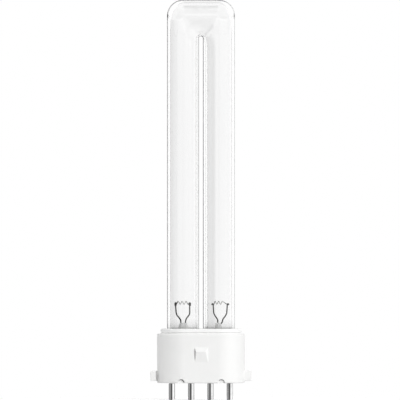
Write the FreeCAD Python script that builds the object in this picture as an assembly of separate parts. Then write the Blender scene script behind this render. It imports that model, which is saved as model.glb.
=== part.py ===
# A compact single-ended germicidal lamp: a narrow glass U in a four-pin plastic cap.
# Millimetres. The origin is the middle of the cap's bottom face, +Z runs up along the tubes,
# +X along the line of pins, and the front of the cap faces -Y.
import FreeCAD, Part
import math
import os

V = FreeCAD.Vector
up = V(0, 0, 1)

# Glass tube
tube_od = 11.6             # outside diameter of each leg
tube_wall = 1.0
leg_gap = 1.4              # clear slot between the two legs
tube_top_z = 138.8         # top of the bend above the cap's bottom face
bend_extra = 1.6           # the bend is this much taller at its crown than a leg is wide

# Tube holder, the insert whose top is the collar
socket_clear = 0.3         # between a leg and its socket, filled with cement
holder_end_wall = 2.075    # from a socket to the holder's end
holder_side_wall = 2.375   # from a socket to the holder's flat side
holder_floor_z = 5.4       # where the holder sits on the ledge inside the shell
lip_t = 1.4                # the stop under each stem
lip_w = 1.3                # how far the stop reaches inside the socket
collar_h = 1.85            # how far the holder stands out of the shell
collar_bevel = 0.4
collar_groove_h = 0.35
collar_groove_d = 0.3
collar_groove_lift = 0.2   # from the shell's top edge up to the groove
cement_clear = 0.02
cement_foot = 0.5          # from the end of the tube up to the cement
cement_mouth = 0.7         # from the collar's top down to the cement

# Base shell
shell_h = 17.8
shell_wall = 1.2
shell_floor_t = 2.0
ledge_w = 0.8
holder_clear = 0.025       # between the holder and the shell
shell_top_bevel = 0.55
shell_foot_bevel = 0.35

# Latch nub on each broad face of the shell
nub_w = 5.2
nub_top_z = 13.0
nub_crest_z = 11.3
nub_foot_z = 7.7
nub_out = 0.8
nub_side_slope = 1.1       # width of a side bevel for each millimetre that the nub stands out

# Retaining lug at each end of the shell
lug_out = 2.4
lug_z = 0.7
lug_h = 3.65
lug_w = 6.0
lug_round = 0.3
lug_neck_w = 0.6           # relief groove at the root of the lug
lug_neck_d = 0.5
lug_neck_in = 0.15         # the groove starts this far inside the shell's end

# Arched notches in the lower edge of each broad face
notch_r = 1.25
notch_centre_z = 0.5
notch_d = 0.9

# Contact pins
pin_pitch = 7.0
pin_d = 2.35
pin_bore_d = 1.0
pin_out = 6.3              # how far a pin stands out under the cap
pin_tip_chamfer = 0.45
pin_tip_t = 1.3            # solid end of the pin
pin_neck_d = 1.9           # where the pin goes through the floor
pin_neck_gap = 0.2         # from the pin's shoulder up to the cap
pin_flange_d = 3.2
pin_flange_t = 0.6
pin_hole_clear = 0.01
pin_recess_clear = 0.2     # round the pin, in a shallow recess of the cap's underside
pin_recess_t = 0.3
pin_count = 4

# Stem: flare and press
rim_t = 0.7
rim_w = 0.9
rim_clear = 0.02           # between the flare and the inside of the tube's end
stem_d = 6.8
stem_wall = 0.7
flare_h = 3.0              # from the end of the tube up to the straight part of the stem
stem_bore_h = 6.0          # from the end of the tube up to the press
press_h = 8.0
press_top_w = 3.2
press_top_t = 1.7          # between the two faces that the jaws left
press_foot_t = 5.4
blow_hole_d = 0.9
blow_hole_rise = 1.5

# Exhaust tube
exhaust_od = 2.8
exhaust_wall = 0.6
exhaust_tip_z = 3.4
exhaust_tip_d = 1.0        # where the tube was melted off
exhaust_tip_h = 1.3
pellet_d = 1.2
pellet_h = 1.0
pellet_clear = 0.02

# Lead wires
lead_d = 0.45              # across the corners of the section
lead_side_count = 8
lead_seal_clear = 0.01
lead_foot_gap = 0.3        # from the wire's end to the bottom of the pin's bore
lead_rise = 0.8            # straight stretch above the pin's flange
lead_lip_clear = 1.5       # from the stop in the holder to the wire's axis
lead_flare_w = 2.2         # from the stem's axis to the wire, below the press
lead_flare_drop = 2.0      # from the press down to that bend
lead_press_w = 0.85        # from the mount's axis to the wire, at the top of the press
lead_neck_h = 1.1          # from the top of the press up to the first bend
lead_splay_h = 2.4
lead_splay_w = 2.35
lead_hook_w = 2.72
lead_hook_len = 0.72
lead_hook_bevel = 0.25     # the hook turns in two steps
mount_shift = {"left": -0.1, "right": 0.4}   # each electrode stands a little off its stem's axis

# Filament
filament_z = 29.05
filament_coil_d = 0.84
filament_wire_d = 0.3
filament_turns = 3
filament_side_count = 4
filament_hook_gap = 0.2

# Values that follow
tube_r = tube_od / 2
tube_in_r = tube_r - tube_wall
leg_x = (tube_od + leg_gap) / 2
crown_z = tube_top_z - tube_r
slot_z = crown_z - bend_extra - leg_x

socket_r = tube_r + socket_clear
holder_len = 2 * (leg_x + socket_r + holder_end_wall)
holder_depth = 2 * (socket_r + holder_side_wall)
holder_top_z = shell_h + collar_h
lip_top_z = holder_floor_z + lip_t
lip_in_r = socket_r - lip_w
tube_foot_z = lip_top_z + rim_t

shell_len = holder_len + 2 * (holder_clear + shell_wall)
shell_depth = holder_depth + 2 * (holder_clear + shell_wall)
groove_z = shell_h + collar_groove_lift

stem_r = stem_d / 2
stem_in_r = stem_r - stem_wall
flare_top_z = tube_foot_z + flare_h
press_foot_z = tube_foot_z + stem_bore_h
press_top_z = press_foot_z + press_h

exhaust_r = exhaust_od / 2
exhaust_in_r = exhaust_r - exhaust_wall
pin_tip_z = -pin_out
pin_flange_z = shell_floor_t + pin_flange_t
hook_z = filament_z - filament_coil_d / 2
splay_z = press_top_z + lead_neck_h + lead_splay_h
pin_x = [(i - (pin_count - 1) / 2) * pin_pitch for i in range(pin_count)]
leg_centre = {"left": -leg_x, "right": leg_x}


def save(name, shape):
    shape.exportStep(os.path.join("parts", name + ".step"))


def stadium(length, depth, z, height):
    # an upright block with flat sides and half-round ends
    r = depth / 2
    h = length / 2 - r
    edges = [
        Part.LineSegment(V(-h, -r, z), V(h, -r, z)).toShape(),
        Part.Arc(V(h, -r, z), V(h + r, 0, z), V(h, r, z)).toShape(),
        Part.LineSegment(V(h, r, z), V(-h, r, z)).toShape(),
        Part.Arc(V(-h, r, z), V(-h - r, 0, z), V(-h, -r, z)).toShape(),
    ]
    return Part.Face(Part.Wire(edges)).extrude(up * height)


def cylinder(radius, height, x, z, y=0.0, axis=up):
    return Part.makeCylinder(radius, height, V(x, y, z), axis)


def ring(outer_r, inner_r, height, x, z):
    return cylinder(outer_r, height, x, z).cut(cylinder(inner_r, height, x, z))


def edges_at(shape, z):
    # the edges that lie flat at one height
    return [e for e in shape.Edges if all(abs(v.Z - z) < 1e-4 for v in e.Vertexes)]


def revolve(edges, x):
    # a closed outline in the XZ plane, turned about an upright axis and moved out to x
    solid = Part.Face(Part.Wire(edges)).revolve(V(0, 0, 0), up, 360)
    return solid.translated(V(x, 0, 0))


def outline(points):
    # straight edges through points given as (r, z), closed
    corners = [V(r, 0, z) for r, z in points]
    return [Part.LineSegment(a, b).toShape() for a, b in zip(corners, corners[1:] + corners[:1])]


def wire_corners(u, v, thickness, side_count):
    # the corners of a wire's flat-sided section round (u, v), in whichever plane it is drawn
    r = thickness / 2
    angles = [2 * math.pi * (k + 0.5) / side_count for k in range(side_count)]
    return [(u + r * math.cos(a), v + r * math.sin(a)) for a in angles]


def bent_wire(points, thickness):
    # a wire along straight runs that meet at mitred kinks; it starts upright
    foot = points[0]
    rim = [V(x, y, foot.z) for x, y in wire_corners(foot.x, foot.y, thickness, lead_side_count)]
    section = Part.makePolygon(rim + rim[:1])
    return Part.makePolygon(points).makePipeShell([section], True, False, 1)


def half_disc(centre, toward, r):
    # half of a round section, with its flat side across the lamp from front to back
    side = V(0, r, 0)
    arc = Part.Arc(centre - side, centre + toward * r, centre + side).toShape()
    chord = Part.LineSegment(centre + side, centre - side).toShape()
    return Part.Face(Part.Wire([arc, chord]))


def bend_core(r):
    # the flat middle of the bend, between the round of the slot and the square shoulders
    low = V(leg_x, -r, slot_z)
    high = V(leg_x, -r, crown_z)
    corners = [low, high, V(-high.x, -r, high.z), V(-low.x, -r, low.z)]
    edges = [Part.LineSegment(a, b).toShape() for a, b in zip(corners, corners[1:])]
    edges.append(Part.Arc(corners[-1], V(0, -r, slot_z + leg_x), low).toShape())
    return Part.Face(Part.Wire(edges)).extrude(V(0, 2 * r, 0))


def u_body(r, foot_z):
    # two legs and the bend: half discs carried up the legs, round the slot and over the shoulders
    over = V(1, 0, 0)
    back = V(0, 1, 0)
    slot_round = half_disc(V(leg_x, 0, slot_z), -over, r)
    solids = [
        slot_round.revolve(V(0, 0, slot_z), -back, 180),
        half_disc(V(-leg_x, 0, crown_z), up, r).extrude(over * (2 * leg_x)),
        bend_core(r),
    ]
    for x in leg_centre.values():
        outward = over * math.copysign(1, x)
        foot = V(x, 0, foot_z)
        shoulder = half_disc(V(x, 0, crown_z), up, r)
        solids.append(half_disc(foot, outward, r).extrude(up * (crown_z - foot_z)))
        solids.append(half_disc(foot, -outward, r).extrude(up * (slot_z - foot_z)))
        solids.append(shoulder.revolve(V(x, 0, crown_z), back * math.copysign(1, x), 90))
    return solids[0].fuse(solids[1:]).removeSplitter()


def discharge_tube():
    return u_body(tube_r, tube_foot_z).cut(u_body(tube_in_r, tube_foot_z - tube_wall))


def flare(x):
    # rim under the tube's end, cone, and straight part, open below
    rim_in_r = tube_r - rim_w
    seat_r = tube_in_r - rim_clear
    return revolve(outline([
        (rim_in_r, lip_top_z),
        (tube_r, lip_top_z),
        (tube_r, tube_foot_z),
        (seat_r, tube_foot_z),
        (stem_r, flare_top_z),
        (stem_r, press_foot_z),
        (stem_in_r, press_foot_z),
        (stem_in_r, flare_top_z),
    ]), x)


def press(x):
    # the pinched top of the stem: a cone with the two flat faces that the jaws left
    cone = Part.makeCone(stem_r, press_top_w / 2, press_h, V(x, 0, press_foot_z))
    side = [
        V(x - stem_d, press_foot_t / 2, press_foot_z),
        V(x - stem_d, press_top_t / 2, press_top_z),
        V(x - stem_d, -press_top_t / 2, press_top_z),
        V(x - stem_d, -press_foot_t / 2, press_foot_z),
    ]
    jaws = Part.Face(Part.makePolygon(side + side[:1])).extrude(V(2 * stem_d, 0, 0))
    return cone.common(jaws)


def stem(side, seals):
    # flare and press in one piece, with the wires' seals and the blow hole
    x = leg_centre[side]
    body = flare(x).fuse(press(x)).removeSplitter()
    rise = cylinder(blow_hole_d / 2, blow_hole_rise, x, press_foot_z)
    out = cylinder(blow_hole_d / 2, stem_d, x, press_foot_z + blow_hole_rise, 0, V(0, 1, 0))
    return body.cut([rise, out] + seals)


def exhaust_tube(side):
    # open where it meets the press, drawn to a melted tip below
    tip_r = exhaust_tip_d / 2
    shoulder_z = exhaust_tip_z + exhaust_tip_h
    return revolve(outline([
        (0, exhaust_tip_z),
        (tip_r, exhaust_tip_z),
        (exhaust_r, shoulder_z),
        (exhaust_r, press_foot_z),
        (exhaust_in_r, press_foot_z),
        (exhaust_in_r, shoulder_z),
        (0, shoulder_z),
    ]), leg_centre[side])


def pellet():
    foot_z = exhaust_tip_z + exhaust_tip_h + pellet_clear
    return cylinder(pellet_d / 2, pellet_h, leg_centre["left"], foot_z)


def lead_wire(side, pin, thickness):
    # from inside the pin, through the stem, out in a tulip shape to a hook that turns back in
    x = leg_centre[side]
    way = math.copysign(1, pin_x[pin] - x)
    mount = x + mount_shift[side]
    foot_z = pin_tip_z + pin_tip_t + lead_foot_gap
    flare_point = V(x + way * lead_flare_w, 0, press_foot_z - lead_flare_drop)
    press_point = V(mount + way * lead_press_w, 0, press_top_z)
    through = (press_point - flare_point) * (lead_neck_h / (press_point.z - flare_point.z))
    return bent_wire([
        V(pin_x[pin], 0, foot_z),
        V(pin_x[pin], 0, pin_flange_z + lead_rise),
        V(x + way * (lip_in_r - lead_lip_clear), 0, holder_floor_z),
        flare_point,
        press_point + through,
        V(mount + way * lead_splay_w, 0, splay_z),
        V(mount + way * lead_hook_w, 0, hook_z - lead_hook_bevel),
        V(mount + way * (lead_hook_w - lead_hook_bevel), 0, hook_z),
        V(mount + way * (lead_hook_w - lead_hook_len), 0, hook_z),
    ], thickness)


def filament(side):
    # an open coil between the two hooks, its ends facing the ends of the wires
    span = 2 * (lead_hook_w - lead_hook_len - filament_hook_gap)
    coil_r = filament_coil_d / 2
    helix = Part.makeHelix(span / filament_turns, span, coil_r)
    corners = wire_corners(coil_r, 0, filament_wire_d, filament_side_count)
    rim = [V(x, 0, z) for x, z in corners]
    section = Part.makePolygon(rim + rim[:1])
    coil = Part.Wire(helix.Edges).makePipeShell([section], True, True)
    coil.rotate(V(0, 0, 0), V(0, 1, 0), 90)
    coil.translate(V(leg_centre[side] + mount_shift[side] - span / 2, 0, filament_z))
    return coil


def tube_holder():
    # a plug with two sockets, a stop under each, and a groove round its collar
    height = holder_top_z - holder_floor_z
    body = stadium(holder_len, holder_depth, holder_floor_z, height)
    body = body.makeChamfer(collar_bevel, edges_at(body, holder_top_z))
    groove = stadium(holder_len, holder_depth, groove_z, collar_groove_h)
    core_len = holder_len - 2 * collar_groove_d
    core_depth = holder_depth - 2 * collar_groove_d
    groove = groove.cut(stadium(core_len, core_depth, groove_z, collar_groove_h))
    cuts = [groove]
    for x in leg_centre.values():
        cuts.append(cylinder(socket_r, height, x, lip_top_z))
        cuts.append(cylinder(lip_in_r, height, x, holder_floor_z))
    return body.cut(cuts)


def cement(side):
    foot = tube_foot_z + cement_foot
    height = holder_top_z - cement_mouth - foot
    return ring(socket_r - cement_clear, tube_r + cement_clear, height, leg_centre[side], foot)


def nub(way):
    # steep above, a long ramp below, bevelled down to the shell at both sides
    face_y = shell_depth / 2
    half = nub_w / 2
    slope = nub_side_slope * nub_out
    foot = [V(x, way * face_y, z) for x, z in
            ((-half, nub_foot_z), (half, nub_foot_z), (half, nub_top_z), (-half, nub_top_z))]
    crest = [V(x, way * (face_y + nub_out), nub_crest_z) for x in (-half + slope, half - slope)]
    panels = [
        [foot[0], foot[1], foot[2], foot[3]],
        [foot[0], foot[1], crest[1], crest[0]],
        [foot[3], foot[2], crest[1], crest[0]],
        [foot[0], foot[3], crest[0]],
        [foot[1], foot[2], crest[1]],
    ]
    faces = [Part.Face(Part.makePolygon(corners + corners[:1])) for corners in panels]
    return Part.Solid(Part.Shell(faces))


def lug(way):
    # a block that stands out of the shell's end, relieved at its root on both faces
    end_x = shell_len / 2
    reach = lug_out + shell_wall
    block = Part.makeBox(reach, lug_w, lug_h, V(end_x - shell_wall, -lug_w / 2, lug_z))
    tip = [e for e in block.Edges if all(abs(v.X - end_x - lug_out) < 1e-4 for v in e.Vertexes)]
    block = block.makeFillet(lug_round, tip)
    for y in (-lug_w / 2, lug_w / 2 - lug_neck_d):
        relief = Part.makeBox(lug_neck_w, lug_neck_d, lug_h, V(end_x - lug_neck_in, y, lug_z))
        block = block.cut(relief)
    if way < 0:
        block = block.rotated(V(0, 0, 0), up, 180)
    return block


def base_shell():
    # a cup with a ledge for the holder, and everything that is moulded on its outside
    body = stadium(shell_len, shell_depth, 0, shell_h)
    body = body.makeChamfer(shell_top_bevel, edges_at(body, shell_h))
    body = body.makeChamfer(shell_foot_bevel, edges_at(body, 0))
    body = body.fuse([lug(-1), lug(1), nub(-1), nub(1)])

    upper_len = shell_len - 2 * shell_wall
    upper_depth = shell_depth - 2 * shell_wall
    lower_len = upper_len - 2 * ledge_w
    lower_depth = upper_depth - 2 * ledge_w
    cuts = [
        stadium(upper_len, upper_depth, holder_floor_z, shell_h),
        stadium(lower_len, lower_depth, shell_floor_t, shell_h),
    ]
    for x in pin_x:
        cuts.append(cylinder(pin_neck_d / 2 + pin_hole_clear, shell_floor_t, x, 0))
        cuts.append(cylinder(pin_d / 2 + pin_recess_clear, pin_recess_t, x, 0))
    for x in ((pin_x[0] + pin_x[1]) / 2, (pin_x[-2] + pin_x[-1]) / 2):
        for y in (-shell_depth / 2, shell_depth / 2 - notch_d):
            cuts.append(cylinder(notch_r, notch_d, x, notch_centre_z, y, V(0, 1, 0)))
    return body.cut(cuts).removeSplitter()


def contact_pin(x):
    # a flange inside the cap, a neck through its floor, a bore for the wire, a chamfered tip
    r = pin_d / 2
    neck_r = pin_neck_d / 2
    bore_r = pin_bore_d / 2
    bore_foot = pin_tip_z + pin_tip_t
    profile = outline([
        (0, pin_tip_z),
        (r - pin_tip_chamfer, pin_tip_z),
        (r, pin_tip_z + pin_tip_chamfer),
        (r, -pin_neck_gap),
        (neck_r, -pin_neck_gap),
        (neck_r, shell_floor_t),
        (pin_flange_d / 2, shell_floor_t),
        (pin_flange_d / 2, pin_flange_z),
        (bore_r, pin_flange_z),
        (bore_r, bore_foot),
        (0, bore_foot),
    ])
    return revolve(profile, x)


os.makedirs("parts", exist_ok=True)

# one lead to each pin, in the order of the pins
leads = [("left", "outer"), ("left", "inner"), ("right", "inner"), ("right", "outer")]
for pin, (side, place) in enumerate(leads):
    save(side + "_" + place + "_lead", lead_wire(side, pin, lead_d))

seal_d = lead_d + 2 * lead_seal_clear
for side in ("left", "right"):
    seals = [lead_wire(side, pin, seal_d) for pin, (end, _) in enumerate(leads) if end == side]
    save(side + "_stem", stem(side, seals))
    save(side + "_exhaust_tube", exhaust_tube(side))
    save(side + "_filament", filament(side))
    save(side + "_cement", cement(side))

for number, x in enumerate(pin_x, start=1):
    save("pin_" + str(number), contact_pin(x))

save("discharge_tube", discharge_tube())
save("mercury_pellet", pellet())
save("tube_holder", tube_holder())
save("base_shell", base_shell())
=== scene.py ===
import math

import bmesh
import bpy
import numpy as np
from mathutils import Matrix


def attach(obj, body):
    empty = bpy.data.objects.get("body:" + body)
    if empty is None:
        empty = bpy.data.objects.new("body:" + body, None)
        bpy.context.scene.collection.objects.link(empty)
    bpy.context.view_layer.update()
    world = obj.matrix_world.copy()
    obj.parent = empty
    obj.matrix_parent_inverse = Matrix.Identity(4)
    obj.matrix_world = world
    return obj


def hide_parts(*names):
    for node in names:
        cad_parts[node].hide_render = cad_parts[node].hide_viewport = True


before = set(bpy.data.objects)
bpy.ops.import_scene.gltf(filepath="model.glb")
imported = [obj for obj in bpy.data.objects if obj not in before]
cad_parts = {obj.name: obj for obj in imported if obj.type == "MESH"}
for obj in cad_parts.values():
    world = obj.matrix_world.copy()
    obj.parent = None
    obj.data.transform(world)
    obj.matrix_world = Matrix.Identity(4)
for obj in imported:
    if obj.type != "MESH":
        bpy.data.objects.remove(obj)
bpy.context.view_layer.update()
mm = 0.001


# Mesh and shader helpers

def gridMesh(name, grid, joined=False, lid=True):
    # rows of points, each a closed ring, become quads between row i and i+1 and column j and j+1; the last row is
    # joined to the first, or else a cap joins the first row to its mean point and a lid does so for the last; the
    # faces are turned over where the volume that they enclose comes out negative
    rows, cols = grid.shape[:2]
    points = grid.reshape(-1, 3)
    i = np.arange(rows if joined else rows - 1)[:, None]
    j = np.arange(cols)[None, :]
    ni, nj = (i + 1) % rows, (j + 1) % cols
    quads = np.stack([i * cols + j, i * cols + nj, ni * cols + nj, ni * cols + j], -1).reshape(-1, 4)
    fans = [np.zeros((0, 3), int)]
    ring = np.arange(cols)
    for wanted, row, order in ((not joined, 0, (1, 0, 2)), (lid and not joined, rows - 1, (0, 1, 2))):
        if wanted:
            points = np.vstack([points, grid[row].mean(0)])
            fan = np.stack([row * cols + ring, row * cols + (ring + 1) % cols, np.full(cols, len(points) - 1)], -1)
            fans.append(fan[:, order])
    fans = np.vstack(fans)
    corners = [points[np.vstack([quads[:, :3], quads[:, [0, 2, 3]], fans])[:, k]] for k in range(3)]
    if (corners[0] * np.cross(corners[1], corners[2])).sum() < 0:
        quads, fans = quads[:, ::-1], fans[:, ::-1]
    mesh = bpy.data.meshes.new(name)
    mesh.from_pydata((points * mm).tolist(), [], quads.tolist() + fans.tolist())
    mesh.polygons.foreach_set("use_smooth", np.ones(len(mesh.polygons), bool))
    mesh.update()
    piece = bpy.data.objects.new(name, mesh)
    bpy.context.scene.collection.objects.link(piece)
    return piece


def smooth(value, low, high):
    # 0 below low, 1 above high, and an S between them
    u = np.clip((value - low) / (high - low), 0, 1)
    return u * u * (3 - 2 * u)


def lengthAlong(line):
    # the way gone along a line at each of its points
    return np.concatenate([[0], np.cumsum(np.linalg.norm(np.diff(line, axis=0), axis=1))])


# the least radius, the share of a side that a curve may take, and where the points beyond it stand
cornerSet = {"leastRadius": 0.004, "sideShare": 0.45, "past": 0.05, "pastShare": 0.02}


def softCorners(points, radii, closed=False, steps=6):
    # each corner becomes a parabola between two points on its sides, radius / tan(half the angle) away, with one more
    # point just beyond each, so that flat faces shade flat; the ends of an open line stay where they are
    p, radius = np.array(points, float), np.array(radii, float)
    sides = [np.roll(p, 1, 0) - p, np.roll(p, -1, 0) - p]
    lengths = [np.linalg.norm(side, axis=1, keepdims=True) for side in sides]
    before, after = (side / length for side, length in zip(sides, lengths))
    shorter = np.minimum(*lengths)
    half = np.arccos(np.clip((before * after).sum(1, keepdims=True), -1, 1)) / 2
    reach = np.maximum(radius, cornerSet["leastRadius"])[:, None] / np.tan(half)
    reach = np.minimum(reach, cornerSet["sideShare"] * shorter)
    past = np.minimum(cornerSet["past"], cornerSet["pastShare"] * shorter)
    t = np.linspace(0, 1, steps)[None, :, None]
    start, end, corner = (p + before * reach)[:, None], (p + after * reach)[:, None], p[:, None]
    curve = (1 - t) ** 2 * start + 2 * t * (1 - t) * corner + t ** 2 * end
    line = np.concatenate([start + (before * past)[:, None], curve, end + (after * past)[:, None]], 1)
    if closed:
        return line.reshape(-1, 2)
    return np.vstack([p[:1], line[1:-1].reshape(-1, 2), p[-1:]])


def spin(profile, x, around=64):
    # radius and height turned once about an upright axis at x
    angle = np.linspace(0, 2 * math.pi, around, endpoint=False)
    r, z = profile[:, :1], profile[:, 1:]
    return np.stack([x + r * np.cos(angle), r * np.sin(angle), z + 0 * angle], -1)


def stadiumColumns(straight, ends, sides):
    # once round a stadium: the middle of each end's turn, and the way out; half circles joined by straight sides
    turn = np.linspace(-math.pi / 2, math.pi / 2, ends + 1)
    along = np.linspace(straight, -straight, sides + 1)[1:-1]
    flat = np.full(len(along), math.pi / 2)
    middle = np.concatenate([np.full(ends + 1, straight), along, np.full(ends + 1, -straight), -along])
    angle = np.concatenate([turn, flat, turn + math.pi, flat + math.pi])
    return middle, angle


def stadiumGrid(profile, straight, ends=48, sides=60):
    # a profile of radius and height carried round a stadium
    middle, angle = stadiumColumns(straight, ends, sides)
    r, z = profile[:, :1], profile[:, 1:]
    return np.stack([middle + r * np.cos(angle), r * np.sin(angle), z + 0 * angle], -1)


def acrossPath(path, side):
    # two directions across a path at each of its points: the side direction less its part along the path, and the
    # cross product of the path's direction with it
    tangent = np.gradient(path, axis=0)
    tangent /= np.linalg.norm(tangent, axis=1, keepdims=True)
    first = side - tangent * (side * tangent).sum(1, keepdims=True)
    first /= np.linalg.norm(first, axis=1, keepdims=True)
    return first, np.cross(tangent, first)


def sweep(path, side, radius, around):
    # a circle carried along a path: each ring lies across the path, turned by the side direction given with it
    first, second = acrossPath(path, side)
    angle = np.linspace(0, 2 * math.pi, around, endpoint=False)[None, :, None]
    return path[:, None] + radius * (first[:, None] * np.cos(angle) + second[:, None] * np.sin(angle))


def carve(piece, tools, operation, weld=0.002):
    # joins the tools to the piece or cuts them from it, drops them, and welds the points that come out in one place
    for tool in tools:
        change = piece.modifiers.new("change", "BOOLEAN")
        change.operation, change.solver, change.object = operation, "EXACT", tool
    bpy.context.view_layer.update()
    shaped = bpy.data.meshes.new_from_object(piece.evaluated_get(bpy.context.evaluated_depsgraph_get()))
    piece.modifiers.clear()
    body = bmesh.new()
    body.from_mesh(shaped)
    bmesh.ops.remove_doubles(body, verts=body.verts, dist=weld * mm)
    body.to_mesh(shaped)
    body.free()
    piece.data = shaped
    for tool in tools:
        bpy.data.objects.remove(tool)


def crisp(piece, degrees=32):
    # edges that turn more than this stay sharp
    piece.data.polygons.foreach_set("use_smooth", np.ones(len(piece.data.polygons), bool))
    piece.data.set_sharp_from_angle(angle=math.radians(degrees))


def dress(piece, material, node):
    # gives a piece its finish and ties it to the frame
    piece.data.materials.clear()
    piece.data.materials.append(material)
    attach(piece, "root")
    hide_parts(node)


class Nodes:
    # a short way to lay out a node tree
    def __init__(self, tree):
        self.tree = tree
        tree.nodes.clear()

    def add(self, kind, inputs=None, **values):
        node = self.tree.nodes.new(kind)
        for key, value in values.items():
            setattr(node, key, value)
        for key, value in (inputs or {}).items():
            if isinstance(value, bpy.types.NodeSocket):
                self.tree.links.new(value, node.inputs[key])
            else:
                node.inputs[key].default_value = value
        return node

    def math(self, operation, *values, clamp=False):
        return self.add("ShaderNodeMath", dict(enumerate(values)), operation=operation, use_clamp=clamp).outputs[0]

    def mix(self, factor, a, b):
        return self.add("ShaderNodeMix", {0: factor, 2: a, 3: b}, data_type="FLOAT").outputs[0]

    def blend(self, factor, a, b):
        node = self.add("ShaderNodeMix", {0: factor, 6: a, 7: b}, data_type="RGBA")
        return node.outputs[2]

    def fade(self, value, low, high, atLow=0.0, atHigh=1.0):
        # a smooth step from one value to another
        limits = {"Value": value, "From Min": low, "From Max": high, "To Min": atLow, "To Max": atHigh}
        return self.add("ShaderNodeMapRange", limits, interpolation_type="SMOOTHSTEP").outputs["Result"]

    def ramp(self, value, stops):
        # a ramp of greys from pairs of position and value
        node = self.add("ShaderNodeValToRGB", {"Fac": value})
        elements = node.color_ramp.elements
        while len(elements) < len(stops):
            elements.new(0.5)
        for element, (place, tone) in zip(elements, stops):
            element.position = place
            element.color = (tone, tone, tone, 1)
        return node.outputs["Color"]

    def place(self, stretch=(1.0, 1.0, 1.0), centre=(0.0, 0.0, 0.0)):
        # the piece's own coordinates in millimetres, moved to a centre and then stretched
        own = self.add("ShaderNodeTexCoord").outputs["Object"]
        scale = tuple(v / mm for v in stretch)
        moved = self.add("ShaderNodeMapping", {"Vector": own, "Location": tuple(-v * mm for v in centre)}).outputs[0]
        return self.add("ShaderNodeMapping", {"Vector": moved, "Scale": scale}).outputs[0]

    def noise(self, place, scale, detail=2.0):
        return self.add("ShaderNodeTexNoise", {"Vector": place, "Scale": scale, "Detail": detail}).outputs["Fac"]

    def bump(self, height, distance):
        inputs = {"Height": height, "Distance": distance * mm, "Strength": 1.0}
        return self.add("ShaderNodeBump", inputs).outputs["Normal"]


def newMaterial(name, **inputs):
    # one shader with its plain values set on its own sockets
    material = bpy.data.materials.new(name)
    material.use_nodes = True
    nodes = Nodes(material.node_tree)
    shader = nodes.add("ShaderNodeBsdfPrincipled")
    for key, value in inputs.items():
        shader.inputs[key.replace("_", " ")].default_value = value
    nodes.add("ShaderNodeOutputMaterial", {"Surface": shader.outputs["BSDF"]})
    return material, nodes, shader


def feed(nodes, shader, **values):
    # joins worked out values to the shader's sockets
    for key, value in values.items():
        nodes.tree.links.new(value, shader.inputs[key.replace("_", " ")])


def letThrough(nodes, shader):
    # glass that stands aside for the rays that light what is inside it
    path = nodes.add("ShaderNodeLightPath").outputs
    aside = nodes.math("MAXIMUM", path["Is Shadow Ray"], path["Is Diffuse Ray"])
    clear = nodes.add("ShaderNodeBsdfTransparent")
    mixed = nodes.add("ShaderNodeMixShader", {0: aside, 1: shader.outputs["BSDF"], 2: clear.outputs["BSDF"]})
    output = next(n for n in nodes.tree.nodes if n.type == "OUTPUT_MATERIAL")
    nodes.tree.links.new(mixed.outputs["Shader"], output.inputs["Surface"])


# Camera: level with the middle of the lamp, far off, as with a long lens

cameraSet = {"mmPerPixel": 0.3625, "pixels": 400, "centreX": -0.3625, "centreZ": 66.27, "distance": 4000,
             "sensor": 36, "clip": (0.05, 50)}


def makeCamera(c):
    # the lens follows from the width that the picture covers at the lamp's distance
    data = bpy.data.cameras.new("camera")
    camera = bpy.data.objects.new("camera", data)
    bpy.context.scene.collection.objects.link(camera)
    bpy.context.scene.camera = camera
    data.sensor_width = c["sensor"]
    data.lens = c["sensor"] * c["distance"] / (c["mmPerPixel"] * c["pixels"])
    data.clip_start, data.clip_end = c["clip"]
    camera.location = (c["centreX"] * mm, -c["distance"] * mm, c["centreZ"] * mm)
    camera.rotation_euler = (math.pi / 2, 0, 0)


makeCamera(cameraSet)
print("camera done")


# Finishes

glassSet = {
    "ior": 1.5,
    # painted edge shade: the glass's tint by facing, darker where the wall is seen edge on
    "edge": ((0.0, 0.995), (0.62, 0.995), (0.68, 0.7), (0.76, 0.42), (0.86, 0.2), (1.0, 0.08)),   # facing, tint
    # painted shade beside the slot: there the edge shade counts twice
    "slotShadeSide": (1.2, 1.5), "slotShadeTop": (125.5, 127.0),        # where the tint counts twice
    # the painted edge shade is mostly left off the hollow's skin in the bend
    "bendZ": (126.5, 130.5), "spare": 0.97,                   # where the inner skin goes without it, and how far
    # painted shade near the cap: the glass greys towards the tube's foot
    "paintedFootShadeZ": (19.4, 24.4),
    "paintedFootShade": ((0.0, 0.6), (0.06, 0.64), (0.13, 0.775), (0.2, 0.88), (0.34, 0.93), (0.5, 0.965), (0.8, 1.0)),
    "wave": 0.005, "waveScale": 0.35, "waveStretch": (1.0, 1.0, 0.02),
}


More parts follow.
